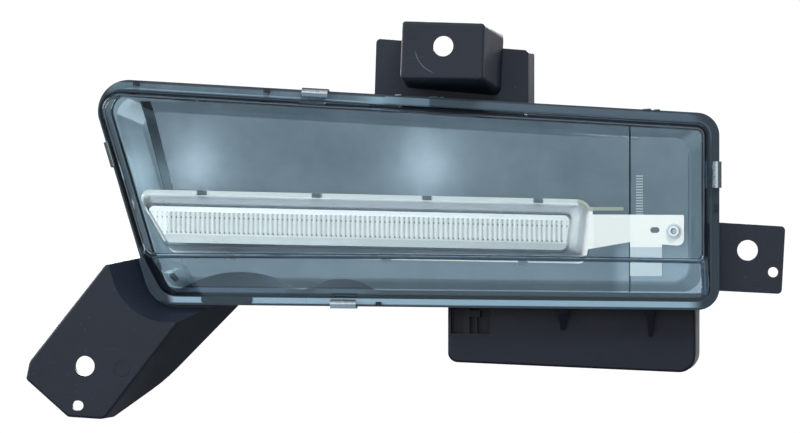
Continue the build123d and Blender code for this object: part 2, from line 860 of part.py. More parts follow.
with BuildPart() as carrier_strip:
    with BuildSketch(Plane.XY.offset(carrier_arm[-1][1])):
        with BuildLine():
            Polyline(
                (carrier_arm[0][0], carrier_y),
                (carrier_fold_x[0], carrier_y),
                (carrier_fold_x[1], end_plate_y),
                (carrier_arm[5][0], end_plate_y),
                (carrier_arm[5][0], end_plate_back_y),
                (carrier_fold_x[1], end_plate_back_y),
                (carrier_fold_x[0], carrier_back_y),
                (carrier_arm[0][0], carrier_back_y),
                close=True,
            )
        make_face()
    extrude(amount=carrier_arm[0][1] - carrier_arm[-1][1])
    extrude(
        outline(end_plate_back_y, carrier_arm, carrier_arm_radii),
        amount=end_plate_back_y - carrier_y,
        dir=forward,
        mode=Mode.INTERSECT,
    )

with BuildPart() as carrier_plate:
    extrude(bar_outline(carrier_back_y, carrier_rim), amount=carrier_thickness, dir=forward)
    add(carrier_strip.part)
    extrude(
        outline(end_plate_back_y, carrier_foot, carrier_foot_radii), amount=carrier_thickness, dir=forward
    )
    for plane in bar_lug_planes:
        with BuildSketch(plane):
            with Locations((carrier_lip[0] - bar_lug_root - bar_lug_clearance, carrier_y)):
                Rectangle(2 * carrier_lip[0], 4 * carrier_thickness)
        extrude(amount=bar_lug_width / 2 + bar_lug_clearance, both=True, mode=Mode.SUBTRACT)
    with BuildSketch(at_depth(end_plate_back_y)):
        with Locations(*pin_points):
            Circle(pin_radius + pin_clearance)
        with Locations(screw_point):
            Circle(screw_hole_radius)
        with Locations(carrier_slot):
            SlotOverall(carrier_slot_length, carrier_slot_width)
        with Locations((plug_x, flute_height(plug_x))):
            Rectangle(plug_width + 2 * plug_clearance, plug_height + 2 * plug_clearance)
    extrude(amount=end_plate_back_y - carrier_y, mode=Mode.SUBTRACT)
carrier_plate.part.label = "carrier_plate"
export_step(carrier_plate.part, "parts/carrier_plate.step")

# Clear cap of the light bar, with hooked lugs that grip the back of the carrier plate
with BuildPart() as bar_lens:
    loft(
        sections=[bar_outline(carrier_y, same(0.0)), bar_outline(bar_front_y, bar_front_inset)],
        ruled=True,
    )
    fillet(bar_lens.faces().sort_by(Axis.Y)[0].edges(), bar_edge_radius)
    loft(
        sections=[
            bar_outline(carrier_y, same(bar_wall)),
            bar_outline(bar_front_y + bar_wall, deeper(bar_front_inset, bar_wall)),
        ],
        ruled=True,
        mode=Mode.SUBTRACT,
    )
    for plane in bar_lug_planes:
        with BuildSketch(plane):
            with BuildLine():
                Polyline(
                    (-bar_lug_root, carrier_y - bar_lug_reach),
                    (carrier_lip[0], carrier_y - bar_lug_reach),
                    (carrier_lip[0], carrier_back_y + bar_hook_thickness),
                    (-bar_hook, carrier_back_y + bar_hook_thickness),
                    (-bar_hook, carrier_back_y),
                    (-bar_lug_root, carrier_back_y),
                    close=True,
                )
            make_face()
        extrude(amount=bar_lug_width / 2, both=True)
bar_lens.part.label = "bar_lens"
export_step(bar_lens.part, "parts/bar_lens.step")

# Reflector frame inside the cap
def inside_bar(y):
    # Insets that keep a piece clear of the cap's walls at one depth
    share = (carrier_y - y) / (carrier_y - bar_front_y - bar_wall)
    return tuple(share * inset + bar_wall + tray_clearance for inset in bar_front_inset)


tray_foot_inset = inside_bar(carrier_y)
tray_front_inset = inside_bar(tray_front_y)
with BuildPart() as reflector:
    loft(
        sections=[bar_outline(carrier_y, tray_foot_inset), bar_outline(tray_front_y, tray_front_inset)],
        ruled=True,
    )
    loft(
        sections=[
            bar_outline(carrier_y, deeper(tray_foot_inset, tray_wall)),
            bar_outline(tray_front_y, deeper(tray_front_inset, tray_wall)),
        ],
        ruled=True,
        mode=Mode.SUBTRACT,
    )
reflector.part.label = "reflector"
export_step(reflector.part, "parts/reflector.step")

# Fluted optic: plate on the reflector with a row of upright half-round flutes
flute_y = tray_front_y - optic_plate
with BuildPart() as fluted_optic:
    extrude(bar_outline(tray_front_y, inside_bar(flute_y)), amount=optic_plate, dir=forward)
    with Locations(*[(x, flute_y, flute_height(x)) for x in flute_line]):
        Cylinder(flute_radius, flute_length)
fluted_optic.part.label = "fluted_optic"
export_step(fluted_optic.part, "parts/fluted_optic.step")

# Circuit strip with its row of diodes
with BuildPart() as led_board:
    with BuildSketch(at_depth(carrier_y)):
        with BuildLine():
            Polyline(
                (board_ends[0], flute_height(board_ends[0]) + board_height / 2),
                (board_ends[1], flute_height(board_ends[1]) + board_height / 2),
                (board_ends[1], flute_height(board_ends[1]) - board_height / 2),
                (board_ends[0], flute_height(board_ends[0]) - board_height / 2),
                close=True,
            )
        make_face()
    extrude(amount=board_thickness)
led_board.part.label = "led_board"
export_step(led_board.part, "parts/led_board.step")

chip_line = [chip_start_x + i * chip_pitch for i in range(chip_count)]
with BuildPart() as led_chips:
    with BuildSketch(at_depth(carrier_y - board_thickness)):
        with Locations(*[(x, flute_height(x)) for x in chip_line]):
            Rectangle(chip_size, chip_size)
    extrude(amount=chip_height)
led_chips.part.label = "led_chips"
export_step(led_chips.part, "parts/led_chips.step")

with BuildPart() as led_plug:
    with BuildSketch(at_depth(plug_back_y)):
        with Locations((plug_x, flute_height(plug_x))):
            RectangleRounded(plug_width, plug_height, plug_clearance)
    extrude(amount=plug_back_y - carrier_y)
led_plug.part.label = "led_plug"
export_step(led_plug.part, "parts/led_plug.step")

# Lead from the plug down through the floor of the housing to the driver board
with BuildPart() as led_lead:
    with BuildLine(Plane.YZ.offset(plug_x)) as lead_path:
        FilletPolyline(
            (plug_back_y, flute_height(plug_x)),
            (lead_hole_y, flute_height(plug_x)),
            (lead_hole_y, lead_end_z),
            (driver_board_y, lead_end_z),
            radius=lead_bend,
        )
    with BuildSketch(at_depth(plug_back_y)):
        with Locations((plug_x, flute_height(plug_x))):
            Circle(lead_radius)
    sweep(path=lead_path.line)
led_lead.part.label = "led_lead"
export_step(led_lead.part, "parts/led_lead.step")

# Tray of both bezels, parted below into the main and the end piece
bezel_inset = cavity_inset + bezel_gap
bezel_mouth_inset = deeper(bezel_rim_inset, bezel_rim_width)
with BuildPart() as bezel_hollow:
    loft(
        sections=[
            outline(bezel_rim_y, inset_corners(lens_corners, bezel_mouth_inset), same(bezel_corner_radius)),
            outline(bezel_floor_y, inset_corners(lens_corners, bezel_floor_inset), same(bezel_corner_radius)),
        ],
        ruled=True,
    )
    fillet(bezel_hollow.faces().sort_by(Axis.Y)[-1].edges(), bezel_edge_radius)
with BuildPart() as bezel_shell:
    extrude(
        lens_outline(bezel_back_y, same(bezel_inset)), amount=bezel_back_y - inner_wall_y, dir=forward
    )
    extrude(lens_outline(inner_wall_y, bezel_rim_inset), amount=inner_wall_y - bezel_rim_y, dir=forward)
    add(bezel_hollow.part, mode=Mode.SUBTRACT)
    with BuildSketch(at_depth(bezel_back_y)):
        with Locations(screw_point, *pin_points):
            Circle(post_radius + post_clearance)
        with Locations((plug_x, flute_height(plug_x))):
            Rectangle(plug_width + 4 * plug_clearance, plug_height + 4 * plug_clearance)
        with BuildLine():
            Polyline(*slot_corners, close=True)
        make_face()
        with Locations(Location((*peg_hole, 0), (0, 0, peg_hole_turn))):
            SlotOverall(peg_hole_length, peg_hole_width)
        for center, radius in scallop_arcs:
            with Locations(center):
                Circle(radius)
    extrude(amount=bezel_back_y - lens_flange_y, mode=Mode.SUBTRACT)

# Main bezel, left of the parting line
with BuildPart() as main_bezel:
    add(bezel_shell.part)
    split(bisect_by=Plane.YZ.offset(split_x - split_gap / 2), keep=Keep.BOTTOM)
main_bezel.part.label = "main_bezel"
export_step(main_bezel.part, "parts/main_bezel.step")

# End bezel, right of the parting line, with its raised panel and row of fine ticks
with BuildPart() as end_bezel:
    add(bezel_shell.part)
    split(bisect_by=Plane.YZ.offset(split_x + split_gap / 2), keep=Keep.TOP)
    extrude(
        outline(bezel_floor_y + end_panel_height, end_panel, end_panel_radii),
        amount=2 * end_panel_height,
        dir=forward,
    )
    with BuildSketch(at_depth(bezel_back_y)):
        with Locations(screw_point):
            Circle(post_radius + post_clearance)
    extrude(amount=bezel_back_y - bezel_rim_y, mode=Mode.SUBTRACT)
    with BuildSketch(at_depth(bezel_floor_y - end_panel_height)):
        with Locations(*[(tick_x, tick_top_z - i * tick_pitch) for i in range(tick_count)]):
            Rectangle(tick_length, tick_pitch / 2)
    extrude(amount=tick_height)
end_bezel.part.label = "end_bezel"
export_step(end_bezel.part, "parts/end_bezel.step")

# Screw that holds the carrier plate: washer head with a six-sided recess
with BuildPart() as carrier_screw:
    with BuildSketch(at_depth(end_plate_y)):
        with Locations(screw_point):
            Circle(washer_radius)
    extrude(amount=washer_thickness)
    with BuildSketch(at_depth(end_plate_y - washer_thickness)):
        with Locations(screw_point):
            Circle(screw_head_radius)
    extrude(amount=screw_head_height)
    with BuildSketch(at_depth(end_plate_y)):
        with Locations(screw_point):
            Circle(screw_core_radius)
    extrude(amount=-(carrier_thickness + screw_bite))
    with BuildSketch(at_depth(end_plate_y - washer_thickness)):
        with Locations(screw_point):
            RegularPolygon(screw_recess_radius, 6)
    extrude(amount=2 * screw_head_height, mode=Mode.SUBTRACT)
carrier_screw.part.label = "carrier_screw"
export_step(carrier_screw.part, "parts/carrier_screw.step")

# Driver board in the box, held on the stand-offs of the metal cover
driver_board_back_y = driver_board_y + board_thickness
with BuildPart() as driver_board:
    with BuildSketch(at_depth(driver_board_back_y)):
        with Locations((sum(driver_board_x) / 2, sum(driver_board_z) / 2)):
            Rectangle(driver_board_x[1] - driver_board_x[0], driver_board_z[1] - driver_board_z[0])
        with Locations(*cover_boss_points):
            Circle(cover_boss_radius + post_clearance, mode=Mode.SUBTRACT)
        with Locations(*standoff_points):
            Circle(peg_radius + peg_clearance, mode=Mode.SUBTRACT)
        with Locations(*terminal_points):
            Rectangle(terminal_width, terminal_thickness, mode=Mode.SUBTRACT)
    extrude(amount=board_thickness)
driver_board.part.label = "driver_board"
export_step(driver_board.part, "parts/driver_board.step")

# Large parts on the driver board: two capacitors, a choke and a controller
with BuildPart() as driver_parts:
    with BuildSketch(at_depth(driver_board_y)):
        with Locations(*capacitor_points):
            Circle(capacitor_radius)
    extrude(amount=capacitor_height)
    with BuildSketch(at_depth(driver_board_y)):
        with Locations(choke_point):
            Circle(choke_radius)
            Circle(choke_radius / 2, mode=Mode.SUBTRACT)
    extrude(amount=choke_height)
    with BuildSketch(at_depth(driver_board_y)):
        with Locations(controller_point):
            Rectangle(controller_size, controller_size)
    extrude(amount=controller_height)
driver_parts.part.label = "driver_parts"
export_step(driver_parts.part, "parts/driver_parts.step")

# Gasket between the box and its cover
cover_inset = (box_corners[0][1] - cover_top_z, -cover_overhang, -cover_overhang, -cover_overhang)
seal_inset = deeper(box_hollow, -box_wall + seal_margin)
with BuildPart() as cover_seal:
    extrude(
        inset_outline(cover_y, box_corners, box_radii, seal_inset),
        amount=seal_thickness,
        dir=forward,
    )
    extrude(
        inset_outline(cover_y, box_corners, box_radii, box_hollow),
        amount=seal_thickness,
        dir=forward,
        mode=Mode.SUBTRACT,
    )
cover_seal.part.label = "cover_seal"
export_step(cover_seal.part, "parts/cover_seal.step")

# Metal cover with fins outside and stand-offs inside
cover_back_y = cover_y + cover_thickness
fin_span = (box_corners[3][1] + fin_margin, cover_top_z - fin_margin)
with BuildPart() as driver_cover:
    extrude(
        inset_outline(cover_back_y, box_corners, box_radii, cover_inset),
        amount=cover_thickness,
        dir=forward,
    )
    with BuildSketch(at_depth(cover_back_y + fin_height)):
        with Locations(*[(fin_start_x + i * fin_pitch, sum(fin_span) / 2) for i in range(fin_count)]):
            Rectangle(fin_thickness, fin_span[1] - fin_span[0])
    extrude(amount=fin_height)
    with BuildSketch(at_depth(cover_y)):
        with Locations(*standoff_points):
            Circle(standoff_radius)
    extrude(amount=cover_y - driver_board_back_y)
    with BuildSketch(at_depth(driver_board_back_y)):
        with Locations(*standoff_points):
            Circle(peg_radius)
    extrude(amount=board_thickness)
    with BuildSketch(at_depth(cover_back_y)):
        with Locations(*cover_boss_points):
            Circle(screw_hole_radius)
        with Locations(socket_center):
            Rectangle(socket_width + 2 * socket_clearance, socket_height + 2 * socket_clearance)
    extrude(amount=cover_thickness, mode=Mode.SUBTRACT)
driver_cover.part.label = "driver_cover"
export_step(driver_cover.part, "parts/driver_cover.step")

with BuildPart() as cover_screws:
    with BuildSketch(at_depth(cover_back_y + screw_head_height)):
        with Locations(*cover_boss_points):
            Circle(washer_radius)
    extrude(amount=screw_head_height)
    with BuildSketch(at_depth(cover_back_y)):
        with Locations(*cover_boss_points):
            Circle(screw_core_radius)
    extrude(amount=cover_thickness + screw_bite)
    with BuildSketch(at_depth(cover_back_y + screw_head_height)):
        with Locations(*cover_boss_points):
            RegularPolygon(screw_recess_radius, 6)
    extrude(amount=screw_head_height / 2, mode=Mode.SUBTRACT)
cover_screws.part.label = "cover_screws"
export_step(cover_screws.part, "parts/cover_screws.step")

# Socket for the vehicle harness: it stands on the board and passes through the cover
socket_floor_y = driver_board_back_y + socket_floor
with BuildPart() as connector_shell:
    with BuildSketch(at_depth(socket_back_y)):
        with Locations(socket_center):
            RectangleRounded(socket_width, socket_height, socket_wall)
    extrude(amount=socket_back_y - driver_board_back_y)
    with BuildSketch(at_depth(cover_y)):
        with Locations(socket_center):
            RectangleRounded(socket_width + 2 * socket_flange, socket_height + 2 * socket_flange, socket_wall)
    extrude(amount=socket_flange)
    with BuildSketch(at_depth(socket_back_y)):
        with Locations(socket_center):
            RectangleRounded(
                socket_width - 2 * socket_wall, socket_height - 2 * socket_wall, socket_wall / 2
            )
    extrude(amount=socket_back_y - socket_floor_y, mode=Mode.SUBTRACT)
    with BuildSketch(at_depth(socket_floor_y)):
        with Locations(*terminal_points):
            Rectangle(terminal_width, terminal_thickness)
    extrude(amount=socket_floor, mode=Mode.SUBTRACT)
    with BuildSketch(at_depth(socket_back_y - latch_setback)):
        with Locations((socket_center[0], socket_center[1] + socket_height / 2 + latch_height / 2)):
            Rectangle(latch_width, latch_height)
    extrude(amount=latch_length)
connector_shell.part.label = "connector_shell"
export_step(connector_shell.part, "parts/connector_shell.step")

with BuildPart() as connector_pins:
    with BuildSketch(at_depth(socket_floor_y + terminal_reach)):
        with Locations(*terminal_points):
            Rectangle(terminal_width, terminal_thickness)
    extrude(amount=terminal_reach + socket_floor + board_thickness + terminal_thickness)
connector_pins.part.label = "connector_pins"
export_step(connector_pins.part, "parts/connector_pins.step")

# Breather: membrane on the spigot and a slotted cap over it
vent_end_y = housing_back_y + vent_length
with BuildPart() as vent_membrane:
    with BuildSketch(at_depth(vent_end_y + membrane_thickness)):
        with Locations(vent_point):
            Circle(vent_radius)
    extrude(amount=membrane_thickness)
vent_membrane.part.label = "vent_membrane"
export_step(vent_membrane.part, "parts/vent_membrane.step")

with BuildPart() as vent_cap:
    with BuildSketch(at_depth(vent_end_y + vent_cap_gap + vent_cap_wall)):
        with Locations(vent_point):
            Circle(vent_radius + vent_cap_wall)
    extrude(amount=vent_cap_length)
    fillet(vent_cap.faces().sort_by(Axis.Y)[-1].edges(), vent_cap_wall / 2)
    with BuildSketch(at_depth(vent_end_y + vent_cap_gap)):
        with Locations(vent_point):
            Circle(vent_radius)
    extrude(amount=vent_cap_length, mode=Mode.SUBTRACT)
    with BuildSketch(at_depth(vent_end_y + vent_cap_gap)):
        with Locations(vent_point):
            Rectangle(4 * vent_radius, vent_slot_width)
            Rectangle(vent_slot_width, 4 * vent_radius)
    extrude(amount=vent_cap_gap, mode=Mode.SUBTRACT)
vent_cap.part.label = "vent_cap"
export_step(vent_cap.part, "parts/vent_cap.step")
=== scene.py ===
import math

import bmesh
import bpy
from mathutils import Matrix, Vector


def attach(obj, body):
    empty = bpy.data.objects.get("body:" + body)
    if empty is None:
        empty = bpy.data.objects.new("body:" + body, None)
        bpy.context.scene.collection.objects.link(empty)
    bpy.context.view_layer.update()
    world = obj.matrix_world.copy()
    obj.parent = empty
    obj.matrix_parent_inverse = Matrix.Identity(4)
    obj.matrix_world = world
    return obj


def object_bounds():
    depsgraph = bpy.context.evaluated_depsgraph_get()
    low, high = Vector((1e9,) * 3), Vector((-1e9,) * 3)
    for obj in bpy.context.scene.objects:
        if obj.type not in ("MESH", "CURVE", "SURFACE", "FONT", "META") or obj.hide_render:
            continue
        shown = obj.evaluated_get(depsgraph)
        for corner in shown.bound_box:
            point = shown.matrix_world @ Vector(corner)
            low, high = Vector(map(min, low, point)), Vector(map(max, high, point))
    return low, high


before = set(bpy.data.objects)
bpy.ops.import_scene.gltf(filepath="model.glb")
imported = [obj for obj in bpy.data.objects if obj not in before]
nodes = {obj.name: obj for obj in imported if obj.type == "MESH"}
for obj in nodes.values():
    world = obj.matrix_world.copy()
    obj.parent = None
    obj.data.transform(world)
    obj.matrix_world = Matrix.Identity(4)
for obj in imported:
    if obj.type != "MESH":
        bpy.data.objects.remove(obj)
cad_low, cad_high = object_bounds()
bpy.ops.object.select_all(action="DESELECT")

MM = 0.001

# Places on the lamp that the finishes follow, in metres, as (x, z)
flange_top_start = (-0.1678, -0.0128)
flange_top_slope = 0.06143
flange_low_start = (-0.1358, -0.1183)
flange_low_slope = 0.00729
bar_top_start = (-0.1434, -0.0666)
bar_top_slope = 0.02333
flute_start = (-0.1274, -0.0800)
flute_slope = -0.0232
flute_pitch = 0.00225
screw_centre = (0.1042, -0.0842)
screw_reach = 0.004
joint_face_y = (0.0167, 0.0172)
chamber_back_y = 0.0725
chamber_z = (-0.1175, -0.0220)
bump_distance = 0.001


# Node helpers

def new_finish(name):
    """A material with one Principled shader, ready to be wired."""
    finish = bpy.data.materials.new(name)
    finish.use_nodes = True
    tree = finish.node_tree
    tree.nodes.clear()
    output = tree.nodes.new("ShaderNodeOutputMaterial")
    shader = tree.nodes.new("ShaderNodeBsdfPrincipled")
    tree.links.new(shader.outputs["BSDF"], output.inputs["Surface"])
    return finish, tree, shader, output


def node(tree, kind, sockets=None, **settings):
    """A node with its settings, given as attributes, and its inputs, given by socket name."""
    made = tree.nodes.new(kind)
    for key, value in settings.items():
        setattr(made, key, value)
    for key, value in (sockets or {}).items():
        made.inputs[key].default_value = value
    return made


def join(tree, source, target):
    tree.links.new(source, target)


def ramp(tree, source, stops):
    """A colour ramp on a value: pairs of place and grey level, or of place and colour."""
    made = tree.nodes.new("ShaderNodeValToRGB")
    steps = made.color_ramp.elements
    while len(steps) < len(stops):
        steps.new(0.5)
    for step, (place, tone) in zip(steps, stops):
        step.position = place
        step.color = (tone, tone, tone, 1) if isinstance(tone, float) else (*tone, 1)
    join(tree, source, made.inputs["Fac"])
    return made.outputs["Color"]


def sums(tree, operation, first, second):
    """One sum on two values, each a socket or a number."""
    made = node(tree, "ShaderNodeMath", operation=operation)
    for socket, value in zip(made.inputs, (first, second)):
        if isinstance(value, (int, float)):
            socket.default_value = value
        else:
            join(tree, value, socket)
    return made.outputs["Value"]


def step_up(tree, value, low, high):
    """A mask that rises smoothly from 0 at low to 1 at high, or falls where high is the lower one."""
    made = node(tree, "ShaderNodeMapRange", interpolation_type="SMOOTHSTEP")
    made.inputs["From Min"].default_value = low
    made.inputs["From Max"].default_value = high
    join(tree, value, made.inputs["Value"])
    return made.outputs["Result"]


def band(tree, value, low, high, soft):
    """A mask that is 1 between two values."""
    return sums(tree, "MULTIPLY", step_up(tree, value, low - soft, low + soft),
                step_up(tree, value, high + soft, high - soft))


def blend_colour(tree, mask, under, over):
    """One colour over another by a mask; each is a socket or a colour."""
    made = node(tree, "ShaderNodeMix", data_type="RGBA")
    join(tree, mask, made.inputs["Factor"])
    for key, value in (("A", under), ("B", over)):
        socket = next(s for s in made.inputs if s.name == key and s.type == "RGBA")
        if isinstance(value, tuple):
            socket.default_value = (*value, 1)
        else:
            join(tree, value, socket)
    return next(s for s in made.outputs if s.type == "RGBA")


def axes(tree):
    """The three coordinates of the object, in metres."""
    place = node(tree, "ShaderNodeTexCoord")
    parts = node(tree, "ShaderNodeSeparateXYZ")
    join(tree, place.outputs["Object"], parts.inputs["Vector"])
    return parts.outputs["X"], parts.outputs["Y"], parts.outputs["Z"]


def facing(tree):
    """The three parts of the surface's direction."""
    place = node(tree, "ShaderNodeTexCoord")
    parts = node(tree, "ShaderNodeSeparateXYZ")
    join(tree, place.outputs["Normal"], parts.inputs["Vector"])
    return parts.outputs["X"], parts.outputs["Y"], parts.outputs["Z"]


def above_edge(tree, x, z, start, slope):
    """How far a point lies above an edge that falls by a slope from its left end."""
    drop = sums(tree, "MULTIPLY", sums(tree, "ADD", x, -start[0]), slope)
    return sums(tree, "ADD", sums(tree, "ADD", z, -start[1]), drop)


def distance(tree, across, up):
    """How far a point lies from a centre, from its two parts."""
    squares = sums(tree, "ADD", sums(tree, "MULTIPLY", across, across), sums(tree, "MULTIPLY", up, up))
    return sums(tree, "SQRT", squares, 0.0)


def overlap(tree, first, *others):
    """The overlap of two or more masks."""
    for other in others:
        first = sums(tree, "MULTIPLY", first, other)
    return first


def new_group(name, inputs, outputs):
    """A shader node group with named inputs, each with its default, and named outputs."""
    group = bpy.data.node_groups.new(name, "ShaderNodeTree")
    for label, start in inputs:
        kind = "NodeSocketColor" if isinstance(start, tuple) else "NodeSocketFloat"
        socket = group.interface.new_socket(label, in_out="INPUT", socket_type=kind)
        socket.default_value = start
    for label, kind in outputs:
        group.interface.new_socket(label, in_out="OUTPUT", socket_type=kind)
    return group, group.nodes.new("NodeGroupInput"), group.nodes.new("NodeGroupOutput")


def place_group(tree, group, **values):
    made = tree.nodes.new("ShaderNodeGroup")
    made.node_tree = group
    for key, value in values.items():
        made.inputs[key.replace("_", " ").capitalize()].default_value = value
    return made


# Shared surface effects

def make_moulded_grain():
    """Fine spark grain of a moulded surface, with a slow unevenness over it."""
    group, start, end = new_group(
        "moulded_grain",
        [("Grain size", 900.0), ("Dark", (0.01, 0.01, 0.012, 1)), ("Light", (0.02, 0.02, 0.025, 1)),
         ("Sheen low", 0.4), ("Sheen high", 0.55)],
        [("Color", "NodeSocketColor"), ("Roughness", "NodeSocketFloat"), ("Height", "NodeSocketFloat")],
    )
    place = node(group, "ShaderNodeTexCoord")
    grain = node(group, "ShaderNodeTexNoise", {"Detail": 2.0, "Roughness": 0.6})
    cloud = node(group, "ShaderNodeTexNoise", {"Scale": 24.0, "Detail": 5.0, "Roughness": 0.62})
    join(group, place.outputs["Object"], grain.inputs["Vector"])
    join(group, place.outputs["Object"], cloud.inputs["Vector"])
    join(group, start.outputs["Grain size"], grain.inputs["Scale"])
    tone = node(group, "ShaderNodeMix", data_type="RGBA")
    uneven = ramp(group, cloud.outputs["Fac"], [(0.34, 0.0), (0.68, 1.0)])
    join(group, uneven, tone.inputs["Factor"])
    join(group, start.outputs["Dark"], tone.inputs["A"])
    join(group, start.outputs["Light"], tone.inputs["B"])
    sheen = node(group, "ShaderNodeMapRange", {"From Min": 0.3, "From Max": 0.7})
    join(group, cloud.outputs["Fac"], sheen.inputs["Value"])
    join(group, start.outputs["Sheen low"], sheen.inputs["To Min"])
    join(group, start.outputs["Sheen high"], sheen.inputs["To Max"])
    join(group, tone.outputs["Result"], end.inputs["Color"])
    join(group, sheen.outputs["Result"], end.inputs["Roughness"])
    join(group, grain.outputs["Fac"], end.inputs["Height"])
    return group


def make_handling_marks():
    """Fine rubbed lines and dust specks that a part picks up in the hand, as one mask."""
    group, start, end = new_group(
        "handling_marks", [("Amount", 1.0)], [("Mask", "NodeSocketFloat")])
    place = node(group, "ShaderNodeTexCoord")
    turn = node(group, "ShaderNodeMapping")
    turn.inputs["Rotation"].default_value = (0.0, 0.6, 0.3)
    turn.inputs["Scale"].default_value = (40.0, 60.0, 900.0)
    join(group, place.outputs["Object"], turn.inputs["Vector"])
    lines = node(group, "ShaderNodeTexNoise", {"Scale": 1.0, "Detail": 3.0, "Roughness": 0.5})
    join(group, turn.outputs["Vector"], lines.inputs["Vector"])
    rubbed = step_up(group, lines.outputs["Fac"], 0.66, 0.78)
    dust = node(group, "ShaderNodeTexVoronoi", {"Scale": 170.0, "Randomness": 1.0})
    join(group, place.outputs["Object"], dust.inputs["Vector"])
    specks = step_up(group, dust.outputs["Distance"], 0.10, 0.05)
    both = sums(group, "MAXIMUM", sums(group, "MULTIPLY", rubbed, 0.6),
                sums(group, "MULTIPLY", specks, 0.5))
    join(group, sums(group, "MULTIPLY", both, start.outputs["Amount"]), end.inputs["Mask"])
    return group


moulded_grain = make_moulded_grain()
handling_marks = make_handling_marks()


def moulded(name, dark, light, sheen, grain_size=900.0, depth=0.02, level=0.5, marks=0.0):
    """A moulded plastic or rubber with grain, an uneven tone and an uneven sheen."""
    finish, tree, shader, _ = new_finish(name)
    grain = place_group(tree, moulded_grain, grain_size=grain_size, dark=(*dark, 1), light=(*light, 1),
                        sheen_low=sheen[0], sheen_high=sheen[1])
    bump = node(tree, "ShaderNodeBump", {"Strength": depth, "Distance": bump_distance})
    colour = grain.outputs["Color"]
    if marks:
        rubbed = place_group(tree, handling_marks, amount=marks)
        rubbed_tone = tuple(4.0 * tone + 0.01 for tone in light)
        colour = blend_colour(tree, rubbed.outputs["Mask"], colour, rubbed_tone)
    join(tree, colour, shader.inputs["Base Color"])
    join(tree, grain.outputs["Roughness"], shader.inputs["Roughness"])
    join(tree, grain.outputs["Height"], bump.inputs["Height"])
    join(tree, bump.outputs["Normal"], shader.inputs["Normal"])
    shader.inputs["Specular IOR Level"].default_value = level
    return finish


def let_shadow_light_through(tree, shader, output, colour):
    """Lets lamp light reach what lies behind a clear moulding, and come back out as a highlight."""
    rays = node(tree, "ShaderNodeLightPath")
    clear = node(tree, "ShaderNodeBsdfTransparent", {"Color": (*colour, 1)})
    blend = node(tree, "ShaderNodeMixShader")
    passing = sums(tree, "MAXIMUM", rays.outputs["Is Shadow Ray"], rays.outputs["Is Reflection Ray"])
    join(tree, passing, blend.inputs["Fac"])
    join(tree, shader.outputs["BSDF"], blend.inputs[1])
    join(tree, clear.outputs["BSDF"], blend.inputs[2])
    join(tree, blend.outputs["Shader"], output.inputs["Surface"])


def lens_clear():
    """Clear outer moulding with a faint smoky blue in its depth, and painted shade that tints its upright walls
    dark.
    """
    colour = (0.96, 0.98, 0.99)
    finish, tree, shader, output = new_finish("lens_clear")
    _, ny, nz = facing(tree)
    _, y, _ = axes(tree)
    level = sums(tree, "ABSOLUTE", ny, 0.0)
    sloped = sums(tree, "MULTIPLY", band(tree, level, 0.59, 0.665, 0.01),
                  step_up(tree, sums(tree, "ABSOLUTE", nz, 0.0), 0.6, 0.7))
    # Painted shade: the upright walls, all but the lower slope, are tinted dark blue-black in front of the
    # joint
    upright = sums(tree, "MAXIMUM", sums(tree, "SUBTRACT", step_up(tree, level, 0.97, 0.92), sloped), 0.0)
    upright = sums(tree, "MULTIPLY", upright, step_up(tree, y, 0.0168, 0.0164))
    shaded_wall_colour = blend_colour(tree, upright, colour, (0.018, 0.032, 0.055))
    join(tree, shaded_wall_colour, shader.inputs["Base Color"])
    shader.inputs["IOR"].default_value = 1.58
    shader.inputs["Transmission Weight"].default_value = 1.0
    place = node(tree, "ShaderNodeTexCoord")
    smear = node(tree, "ShaderNodeTexNoise", {"Scale": 30.0, "Detail": 4.0, "Roughness": 0.6})
    join(tree, place.outputs["Object"], smear.inputs["Vector"])
    polish = node(tree, "ShaderNodeMapRange",
                  {"From Min": 0.4, "From Max": 0.75, "To Min": 0.0, "To Max": 0.012})
    join(tree, smear.outputs["Fac"], polish.inputs["Value"])
    join(tree, polish.outputs["Result"], shader.inputs["Roughness"])
    let_shadow_light_through(tree, shader, output, colour)
    inside = node(tree, "ShaderNodeVolumeAbsorption", {"Color": (0.45, 0.64, 0.76, 1), "Density": 26.0})
    join(tree, inside.outputs["Volume"], output.inputs["Volume"])
    return finish


def bar_clear():
    """Cap of the light bar: polished front, frosted lavender side walls, with painted shade on the walls that
    face down.
    """
    finish, tree, shader, output = new_finish("bar_clear")
    shader.inputs["IOR"].default_value = 1.49
    shader.inputs["Transmission Weight"].default_value = 1.0
    nx, ny, nz = facing(tree)
    _, y, _ = axes(tree)
    wall = step_up(tree, sums(tree, "ABSOLUTE", ny, 0.0), 0.96, 0.90)
    # Painted shade: the side walls that face down are made dark grey
    low = sums(tree, "MULTIPLY", wall, step_up(tree, nz, -0.1, -0.5))
    rim = step_up(tree, y, 0.0100, 0.0106)
    colour = blend_colour(tree, wall, (0.97, 0.98, 0.98), (0.92, 0.94, 0.98))
    ends = sums(tree, "MULTIPLY", wall, step_up(tree, sums(tree, "ABSOLUTE", nx, 0.0), 0.3, 0.5))
    colour = blend_colour(tree, ends, colour, (0.94, 0.95, 0.97))
    colour = blend_colour(tree, low, colour, (0.40, 0.46, 0.52))
    join(tree, colour, shader.inputs["Base Color"])
    frost = sums(tree, "MULTIPLY", sums(tree, "MAXIMUM", wall, rim), 0.42)
    join(tree, frost, shader.inputs["Roughness"])
    let_shadow_light_through(tree, shader, output, (0.95, 0.96, 0.97))
    return finish


def metal(name, dark, light, sheen, grain_size=400.0, depth=0.01, shine=1.0):
    """A plated, cast or painted metal with a fine grain."""
    finish = moulded(name, dark, light, sheen, grain_size, depth)
    shader = next(n for n in finish.node_tree.nodes if n.type == "BSDF_PRINCIPLED")
    shader.inputs["Metallic"].default_value = shine
    return finish


